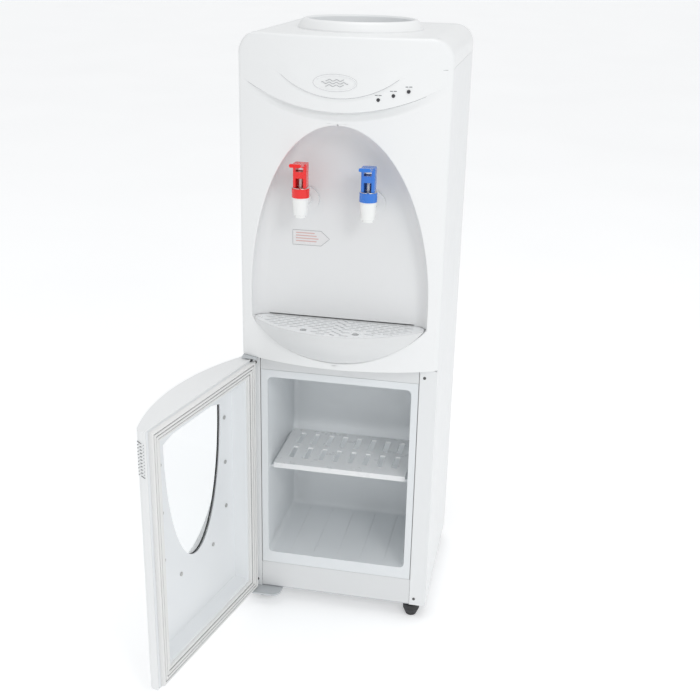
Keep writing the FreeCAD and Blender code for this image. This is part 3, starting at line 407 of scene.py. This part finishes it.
def face_y(x, z_above_brow, z_above_crease):
    """The bowed face with the brow's step and the fading crease."""
    brow_fade = 1 - smoothstep(60, 152, abs(x)) * 0.92
    brow_fade *= 1 - smoothstep(140, 149, abs(x))
    brow = np.interp(z_above_brow, [p[0] for p in BROW_SHAPE], [p[1] for p in BROW_SHAPE])
    if z_above_brow > 1.8:
        brow = 1 - smoothstep(30, 62, z_above_brow)
    crease_fade = 1 - smoothstep(58, 100, abs(x))
    crease = np.interp(z_above_crease, [p[0] for p in CREASE_SHAPE], [p[1] for p in CREASE_SHAPE])
    if z_above_crease > 1.8:
        crease = 1 - smoothstep(10, 46, z_above_crease)
    return bow_y(x) - BROW_PROUD * brow * brow_fade - CREASE_PROUD * crease * crease_fade


def face_at(x, z):
    """The face's depth at a point of the forehead."""
    return face_y(x, z - brow_z(x), z - crease_z(x))


def make_front_panel():
    """The bowed front as one skin: right half row by row from the bottom up, then its mirror image."""
    columns = 44
    points = []
    faces = []
    row_sizes = []
    edge_round = [(EDGE_ROUND * (1 - math.cos(turn)), EDGE_ROUND * (1 - math.sin(turn)))
                  for turn in np.linspace(0, math.pi / 2, 6)]

    def side_columns(z, inset=0.0):
        """The rounded corner, and the side wall behind it with its return flange."""
        path = corner_path(z, inset)
        x, y = path[-1]
        tail = [(x, y + (REAR_Y - y) * share) for share in (0.35, 0.7, 1.0)]
        return path, tail + [(x - 9, REAR_Y)]

    def add_row(cells):
        points.extend(cells)
        row_sizes.append(len(cells))

    def full_row(inner, z_of, z_side, y_of, inset=0.0):
        """One row from the inner cells out to the panel's rear edge."""
        path, tail = side_columns(z_side, inset)
        x0 = inner[-1][0]
        z0 = inner[-1][2]
        x1 = path[0][0]
        cells = list(inner)
        count = columns - len(inner)
        for step in range(1, count + 1):
            share = step / count
            x = x0 + (x1 - x0) * share
            cells.append((x, y_of(x), z_of(x, share, z0)))
        for x, y in path[1:]:
            cells.append((x, y, z_side))
        for x, y in tail:
            cells.append((x, y, z_side))
        add_row(cells)

    # bottom plate and its rounded lower edge
    for inset, z, pull in ((3.0, SPLIT, 1.0), (3.0, SPLIT, 0.5), (1.2, SPLIT, 0.0), (0.35, SPLIT + 0.35, 0.0),
                           (0.0, SPLIT + 1.2, 0.0), (0.0, SPLIT + 5, 0.0)):
        inner = [(0.0, bow_y(0, inset), z)]
        start = len(points)
        full_row(inner, lambda x, s, z0, z=z: z, z, lambda x, i=inset: bow_y(x, i), inset)
        if pull:
            for index in range(start, len(points)):
                x, y, zz = points[index]
                points[index] = (x, y + (REAR_Y - y) * pull, zz)
    # beside the opening
    rim = hole_edge()
    for x, z, nx, nz in rim:
        inner = []
        for out, back in edge_round:
            px, pz = x + nx * out, z + nz * out
            inner.append((px, bow_y(px) + back, pz))
        side_z = max(z, SPLIT + 8 + (z - TRAY_LOW))
        full_row(inner, lambda x, s, z0, zs=side_z: z0 + (zs - z0) * smoothstep(0, 1, s), side_z, bow_y)
    top_z = rim[-1][1]

    def upper_row(place):
        """A row above the arch, whose height at x is place(x)."""
        path, tail = side_columns(place(HALF))
        x1 = path[0][0]
        cells = []
        for step in range(columns):
            x = x1 * step / (columns - 1)
            z = place(x)
            cells.append((x, face_at(x, z), z))
        base = face_at(x1, place(x1)) - bow_y(x1)
        for number, (x, y) in enumerate(path[1:]):
            fade = 1 - (number + 1) / (len(path) - 1)
            cells.append((x, y + base * fade, place(x)))
        for x, y in tail:
            cells.append((x, y, place(HALF)))
        add_row(cells)

    def rows_between(low, high, steps):
        """Rows that shade from the line low(x) to the line high(x), without the two lines themselves."""
        for step in range(1, steps):
            share = step / steps
            upper_row(lambda x, s=share: low(x) * (1 - s) + high(x) * s)

    brow_offsets = [point[0] for point in BROW_SHAPE]
    crease_offsets = [point[0] for point in CREASE_SHAPE]
    rows_between(lambda x: top_z + 2.3, lambda x: brow_z(x) + brow_offsets[0], 13)
    for offset in brow_offsets:
        upper_row(lambda x, o=offset: brow_z(x) + o)
    rows_between(lambda x: brow_z(x) + brow_offsets[-1], lambda x: crease_z(x) + crease_offsets[0], 7)
    for offset in crease_offsets:
        upper_row(lambda x, o=offset: crease_z(x) + o)
    rows_between(lambda x: crease_z(x) + crease_offsets[-1], lambda x: TOP - TOP_ROLL, 31)
    # the rolled top edge and the flat top back to the top cover
    for step in range(0, 7):
        turn = math.pi / 2 * step / 6
        z = TOP - TOP_ROLL + TOP_ROLL * math.sin(turn)
        inset = TOP_ROLL * (1 - math.cos(turn))
        path, tail = side_columns(min(z, TOP - 0.6), inset)
        x1 = path[0][0]
        cells = [(x1 * k / (columns - 1), bow_y(x1 * k / (columns - 1), inset), z) for k in range(columns)]
        cells += [(x, y, z) for x, y in path[1:] + tail]
        add_row(cells)
    for pull in (0.5, 1.0):
        add_row([(x, y + (REAR_Y - y) * pull, z) for x, y, z in cells])

    width = row_sizes[0]
    assert all(size == width for size in row_sizes), set(row_sizes)
    faces = grid_faces(len(row_sizes), width)

    # the alcove: wall, scoop and back
    alcove_start = len(points)
    loops = []
    arch = [r for r in rim if r[1] >= TIP - 0.01]
    below = [r for r in rim if r[1] < TIP - 0.01]
    for x, z, nx, nz in [(ARCH_HALF, TRAY_RIM + 0.4, 1.0, 0.0)] + arch:
        if z < TIP + 1:
            nx, nz = 1.0, 0.0
        front = bow_y(x) + edge_round[0][1]
        wall_end = max(front, ALCOVE_BACK - SCOOP)
        cells = [(x, front, z), (x, (front + wall_end) / 2, z), (x, wall_end, z)]
        for step in range(1, 13):
            turn = math.pi / 2 * step / 12
            into = SCOOP * (1 - math.cos(turn))
            y = ALCOVE_BACK - SCOOP + SCOOP * math.sin(turn)
            y = max(y, wall_end)
            cells.append((x - nx * into, y, z - nz * into))
        bx, bz = cells[-1][0], cells[-1][2]
        for step in range(1, 15):
            share = step / 14
            cells.append((bx * (1 - share), ALCOVE_BACK, bz))
        loops.append(cells)
    alcove_width = len(loops[0])
    for cells in loops:
        points.extend(cells)
    faces += grid_faces(len(loops), alcove_width, alcove_start, flip=True)
    # the tray pocket's rim runs straight back
    pocket_start = len(points)
    for x, z, nx, nz in below + arch[:1]:
        front = bow_y(x) + edge_round[0][1]
        for share in (0.0, 0.5, 1.0):
            points.append((x, front + (ALCOVE_BACK - front) * share, z))
        points.append((x, ALCOVE_BACK, TIP))
    faces += grid_faces(len(below) + 1, 4, pocket_start, flip=True)

    mirrored = len(points)
    points += [(-x, y, z) for x, y, z in points]
    faces += [tuple(index + mirrored for index in face[::-1]) for face in faces]
    made = piece("front_panel_skin", points, faces, SHELL, "cabinet", sharp=50)
    # faces inside the arch take the darker alcove finish: painted shade
    made.data.materials.append(ALCOVE)
    for polygon in made.data.polygons:
        x, y, z = (c / MM for c in polygon.center)
        if abs(x) < ARCH_HALF and z > TRAY_RIM and y > bow_y(x) + 2.0 and y < ALCOVE_BACK + 0.1:
            inside = z < ARCH_SPRING or (x / ARCH_HALF) ** 2 + ((z - ARCH_SPRING) / ARCH_RISE) ** 2 < 1
            polygon.material_index = 1 if inside else 0
    even = made.modifiers.new("even_normals", "WEIGHTED_NORMAL")
    even.keep_sharp = True
    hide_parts("front_panel")


make_front_panel()


# ---------------------------------------------------------------- small details

BADGE_X = -4.3
BADGE_Z = 884.3
BADGE_HALF = 30.0
BADGE_RISE = 10.4
TAP_Y = -32

# the door: its hinge pins, how far it stands open, and its gasket's outline
PIN_X = -143
PIN_Y = -12
REST_ANGLE = 102.4
GASKET_HALF = 146
GASKET_LOW = 29
GASKET_HIGH = 445


def bead(paths, radius, sides=8):
    """Round cords along open or closed paths of points, as (points, faces)."""
    points = []
    faces = []
    for path, closed in paths:
        start = len(points)
        path = [Vector(p) for p in path]
        count = len(path)
        for index, point in enumerate(path):
            before = path[index - 1] if index or closed else point
            after = path[(index + 1) % count] if index < count - 1 or closed else point
            along = (after - before).normalized()
            side = along.cross(Vector((0, 1, 0))).normalized()
            out = side.cross(along)
            for step in range(sides):
                turn = 2 * math.pi * step / sides
                points.append(tuple(point + side * radius * math.cos(turn) + out * radius * math.sin(turn)))
        for index in range(count if closed else count - 1):
            a = start + index * sides
            b = start + (index + 1) % count * sides
            for step in range(sides):
                other = (step + 1) % sides
                faces.append((a + step, a + other, b + other, b + step))
        if not closed:
            faces.append(tuple(start + step for step in range(sides)))
            faces.append(tuple(start + (count - 1) * sides + step for step in range(sides))[::-1])
    return points, faces


def oval(x, z, half, rise, count, lift):
    """A closed oval lying on the panel's face."""
    path = []
    for step in range(count):
        turn = 2 * math.pi * step / count
        px, pz = x + half * math.cos(turn), z + rise * math.sin(turn)
        path.append((px, face_at(px, pz) + lift, pz))
    return path


def make_badge():
    """An oval badge: raised rim, domed plate and three plain waves, the waves coloured dark as painted shade.
    """
    x0, z0, half, rise = BADGE_X, BADGE_Z, BADGE_HALF, BADGE_RISE
    points, faces = bead([(oval(x0, z0, half, rise, 64, -0.2), True)], 0.95)
    rings = 7
    start = len(points)
    for ring in range(rings):
        share = 1 - ring / rings
        points += oval(x0, z0, (half - 1.2) * share, (rise - 1.2) * share, 64, 0.3 - 0.9 * (1 - share ** 2))
    points.append((x0, face_at(x0, z0) - 0.6, z0))
    for ring in range(rings - 1):
        for step in range(64):
            other = (step + 1) % 64
            a, b = start + ring * 64, start + (ring + 1) * 64
            faces.append((a + step, a + other, b + other, b + step))
    last = start + (rings - 1) * 64
    faces += [(last + step, last + (step + 1) % 64, len(points) - 1) for step in range(64)]
    made = piece("badge_plate", points, faces, SHELL, "cabinet")
    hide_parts("badge")
    waves = []
    for rise_of, reach in ((-3.6, 13), (0.0, 19), (3.6, 13)):
        path = []
        for step in range(41):
            x = x0 - reach + 2 * reach * step / 40
            z = z0 + rise_of + 1.1 * math.sin((x - x0) * 0.62)
            path.append((x, face_at(x, z) - 0.75, z))
        waves.append((path, False))
    points, faces = bead(waves, 0.42, 6)
    # the raised waves take the dark seam_shadow finish: painted shade for their relief
    piece("badge_waves", points, faces, SEAM, "cabinet")


def flat_bars(name, bars, finish, face, lift):
    """Thin printed bars, each (x0, x1, z0, z1), lying on a surface y = face(x, z)."""
    points = []
    faces = []
    for x0, x1, z0, z1 in bars:
        start = len(points)
        for step in range(5):
            x = x0 + (x1 - x0) * step / 4
            for z in (z0, z1):
                for depth in (lift, 0.2):
                    points.append((x, face(x, z) + depth, z))
        for step in range(4):
            a = start + 4 * step
            faces += [(a, a + 4, a + 6, a + 2), (a + 1, a + 3, a + 7, a + 5),
                      (a, a + 1, a + 5, a + 4), (a + 2, a + 6, a + 7, a + 3)]
        end = start + 16
        faces += [(start, start + 2, start + 3, start + 1), (end, end + 1, end + 3, end + 2)]
    return piece(name, points, faces, finish, "cabinet", smooth=False)


def make_face_lines():
    """Fine shadow lines along the brow, the crease, the badge's rim and the crown's parting seam."""
    def line(height, start, end, lift):
        path = []
        for step in range(81):
            x = start + (end - start) * step / 80
            path.append((x, face_at(x, height(x)) - lift, height(x)))
        return (path, False)

    paths = [line(lambda x: crease_z(x) - 0.35, -CREASE_REACH, CREASE_REACH, -0.15),
             line(lambda x: brow_z(x) - 1.0, -138, 121, -0.25)]
    points, faces = bead(paths, 0.36, 6)
    piece("face_lines", points, faces, SEAM, "cabinet")
    ring = oval(BADGE_X, BADGE_Z, BADGE_HALF + 1.1, BADGE_RISE + 1.0, 64, -0.05)
    points, faces = bead([(ring, True)], 0.26, 6)
    piece("badge_line", points, faces, SEAM, "cabinet")
    path = [(x, face_y(x, 200, 200) - 0.02, 904.2) for x in np.linspace(132, 148, 9)]
    points, faces = bead([(path, False)], 0.36, 6)
    piece("crown_seam", points, faces, SEAM, "cabinet")


def make_light_marks():
    """Two plain printed bars over each of the three lights."""
    bars = []
    for step in range(3):
        x, z = 56.4 + 20.4 * step, 863.4 + 6 * step
        bars += [(x - 4.6, x - 0.8, z + 5.6, z + 6.9), (x + 0.2, x + 4.4, z + 5.6, z + 6.9)]
    flat_bars("light_marks", bars, PRINT, face_at, -0.06)


def make_label():
    """A plain arrow-shaped sticker on the alcove's back wall."""
    outline = [(-77, 658), (-33, 658), (-20, 646.5), (-33, 635), (-77, 635)]
    wall = ALCOVE_BACK
    points = [(x, wall - 0.12, z) for x, z in outline] + [(x, wall + 0.1, z) for x, z in outline]
    faces = [(0, 1, 2, 3, 4), (9, 8, 7, 6, 5)]
    faces += [(k, k + 5, (k + 1) % 5 + 5, (k + 1) % 5) for k in range(5)]
    piece("plain_label", points, faces, LABEL, "cabinet", smooth=False)
    border = [(x, wall - 0.12, z) for x, z in outline]
    dense = []
    for a, b in zip(border, border[1:] + border[:1]):
        dense += [tuple(Vector(a).lerp(Vector(b), share / 8)) for share in range(8)]
    points, faces = bead([(dense, True)], 0.28, 6)
    piece("label_border", points, faces, PRINT, "cabinet")
    bars = [(-72, -37 - 3 * abs(row - 1), 640.5 + 4.2 * row, 642 + 4.2 * row) for row in range(4)]
    flat_bars("label_bars", bars, PINK_PRINT, lambda x, z: wall, -0.2)


def lathe(profile, x, y, count=40):
    """Points and faces of a closed (radius, height) outline turned about a vertical axis."""
    points = []
    for step in range(count):
        turn = 2 * math.pi * step / count
        points += [(x + r * math.cos(turn), y + r * math.sin(turn), z) for r, z in profile]
    size = len(profile)
    faces = []
    for step in range(count):
        a, b = step * size, (step + 1) % count * size
        for k in range(size):
            other = (k + 1) % size
            faces.append((a + k, b + k, b + other, a + other))
    return points, faces


def make_washers():
    """A bright washer on top of each tap's nut."""
    for name, x in (("hot_tap_washer", -55), ("cold_tap_washer", 45)):
        profile = [(4, 732.6), (12.2, 731.6), (12.6, 732.2), (12.2, 732.9), (8, 733.35), (4, 733.35)]
        points, faces = lathe(profile, x, TAP_Y)
        piece(name, points, faces, CHROME, "cabinet", sharp=60)


def hang(points):
    """Closed-door coordinates turned about the hinge pins to the door's open rest position."""
    turn = math.radians(-REST_ANGLE)
    cos, sin = math.cos(turn), math.sin(turn)
    hung = []
    for x, y, z in points:
        dx, dy = x - PIN_X, y - PIN_Y
        hung.append((PIN_X + dx * cos - dy * sin, PIN_Y + dx * sin + dy * cos, z))
    return hung


def round_the_door(profile, steps=12):
    """Sweep a (distance in from the gasket's edge, depth) outline round the door, mitred at the corners."""
    points = []
    corners = [(-1, GASKET_LOW, 1), (1, GASKET_LOW, 1), (1, GASKET_HIGH, -1), (-1, GASKET_HIGH, -1)]
    for index, (side, z, into) in enumerate(corners):
        following = corners[(index + 1) % 4]
        for step in range(steps):
            share = step / steps
            for across, y in profile:
                half = GASKET_HALF - across
                start = Vector((side * half, y, z + into * across))
                end = Vector((following[0] * half, y, following[1] + following[2] * across))
                points.append(tuple(start.lerp(end, share)))
    size = len(profile)
    total = len(points) // size
    faces = []
    for row in range(total):
        a, b = row * size, (row + 1) % total * size
        for k in range(size):
            other = (k + 1) % size
            faces.append((a + k, a + other, b + other, b + k))
    return hang(points), faces


def make_gasket():
    """The door's folded gasket: parallel ridges all the way round, with shaded grooves between them."""
    fold = [(0, -7.2), (0, -2.6), (0.5, -1.4), (1.6, -0.8), (3.4, -0.75), (4.1, -1.3), (4.4, -3.6),
            (5.8, -3.6), (6.1, -1.8), (7.0, -1.0), (9.0, -0.95), (9.7, -1.6), (10.0, -3.8), (11.4, -3.8),
            (11.7, -2.0), (12.6, -1.3), (14.6, -1.3), (15.3, -2.0), (15.6, -4.4), (17.0, -4.4),
            (17.3, -3.2), (18.2, -2.6), (20.0, -2.8), (20.8, -3.6), (21.0, -7.2)]
    points, faces = round_the_door(fold)
    made = piece("gasket_folds", points, faces, GASKET, "door", sharp=30)
    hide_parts("door_gasket")
    for count, (across, depth) in enumerate(((4.4, -3.4), (10.0, -3.6), (15.6, -4.2))):
        strip = [(across + 0.1, depth - 0.3), (across + 0.1, depth + 0.9), (across + 1.3, depth + 0.9),
                 (across + 1.3, depth - 0.3)]
        points, faces = round_the_door(strip)
        piece("gasket_groove_%d" % count, points, faces, GROOVE, "door", smooth=False)


def make_grip():
    """Shaded grooves between the slanted grip ribs on the door's free edge."""
    lean = math.tan(math.radians(25))
    paths = []
    for step in range(11):
        z = 381.4 + 5 * step
        paths.append(([(154.75, y, z - lean * (y + 14.5)) for y in (-19.6, -16, -12.5, -9.4)], False))
    points, faces = bead([([(y, x, z) for x, y, z in path], closed) for path, closed in paths], 0.6, 6)
    points = [(x, y, z) for y, x, z in points]
    piece("grip_grooves", hang(points), faces, GROOVE, "door")


def make_window_shadow_ring():
    """A dark ring inside the window's opening, on the far side of the pane: painted shade for the shadow gap
    round the opening.
    """
    half, spring, drop = 82.2, 392.4, 221.8
    path = []
    for step in range(49):
        turn = math.pi * step / 48
        path.append((half * math.cos(turn), -35.2, spring - drop * math.sin(turn)))
    rise = half * 0.16
    radius = (half ** 2 + rise ** 2) / (2 * rise)
    for step in range(1, 24):
        x = -half + 2 * half * step / 24
        path.append((x, -35.2, spring + rise - radius + math.sqrt(radius ** 2 - x ** 2)))
    points, faces = bead([(path, True)], 1.1, 8)
    piece("window_shadow_ring", hang(points), faces, BLACK_RUBBER, "door")


make_badge()
make_face_lines()
make_light_marks()
make_label()
make_washers()
make_gasket()
make_grip()
make_window_shadow_ring()


# ---------------------------------------------------------------- room, light and camera

def make_room():
    """A wide pale floor under an even sky."""
    mesh = bpy.data.meshes.new("floor")
    work = bmesh.new()
    bmesh.ops.create_circle(work, cap_ends=True, segments=96, radius=60)
    work.to_mesh(mesh)
    work.free()
    graph = Graph("pale_floor")
    tone = graph.spread(graph.noise(1.2, 3), 0, 1)
    graph.link(graph.blend(tone, (0.90, 0.905, 0.91), (0.87, 0.875, 0.88)), graph.shader.inputs["Base Color"])
    graph.shader.inputs["Roughness"].default_value = 0.7
    graph.shader.inputs["Emission Color"].default_value = (1.0, 1.0, 1.0, 1)
    graph.shader.inputs["Emission Strength"].default_value = 0.30
    graph.bump((graph.noise(60, 4), 0.0002))
    mesh.materials.append(graph.material)
    floor = bpy.data.objects.new("floor", mesh)
    bpy.context.scene.collection.objects.link(floor)

    world = bpy.data.worlds.new("studio")
    world.use_nodes = True
    world.node_tree.nodes["Background"].inputs["Color"].default_value = (0.98, 0.99, 1.0, 1)
    world.node_tree.nodes["Background"].inputs["Strength"].default_value = 0.71
    bpy.context.scene.world = world


def lamp(name, place, target, power, across, along):
    """A soft rectangular lamp at place, facing target."""
    light = bpy.data.lights.new(name, "AREA")
    light.shape = "RECTANGLE"
    light.size = across
    light.size_y = along
    light.energy = power
    made = bpy.data.objects.new(name, light)
    made.location = place
    made.rotation_euler = (Vector(target) - Vector(place)).to_track_quat("-Z", "Y").to_euler()
    bpy.context.scene.collection.objects.link(made)


def make_camera():
    """Above the object and to its right, turned a little left and tilted down."""
    yaw, pitch, roll = math.radians(10.898), math.radians(21.179), math.radians(1.295)
    forward = Vector((-math.sin(yaw) * math.cos(pitch), math.cos(yaw) * math.cos(pitch), -math.sin(pitch)))
    right = Vector((math.cos(yaw), math.sin(yaw), 0))
    up = right.cross(forward)
    across = right * math.cos(roll) + up * math.sin(roll)
    upward = up * math.cos(roll) - right * math.sin(roll)
    turn = Matrix((across, upward, -forward)).transposed()
    data = bpy.data.cameras.new("view")
    data.lens = 54.957
    data.sensor_width = 36
    data.clip_start = 0.05
    data.clip_end = 200
    camera = bpy.data.objects.new("view", data)
    camera.matrix_world = Matrix.Translation((0.30964, -1.51962, 1.07405)) @ turn.to_4x4()
    bpy.context.scene.collection.objects.link(camera)
    bpy.context.scene.camera = camera


make_room()
lamp("key", (1.7, -2.1, 2.2), (0, 0, 0.5), 15, 0.8, 0.8)
lamp("top", (0.2, -0.1, 3.2), (0, 0, 0.5), 15, 1.6, 1.6)
make_camera()
bpy.context.scene.view_settings.view_transform = "Standard"
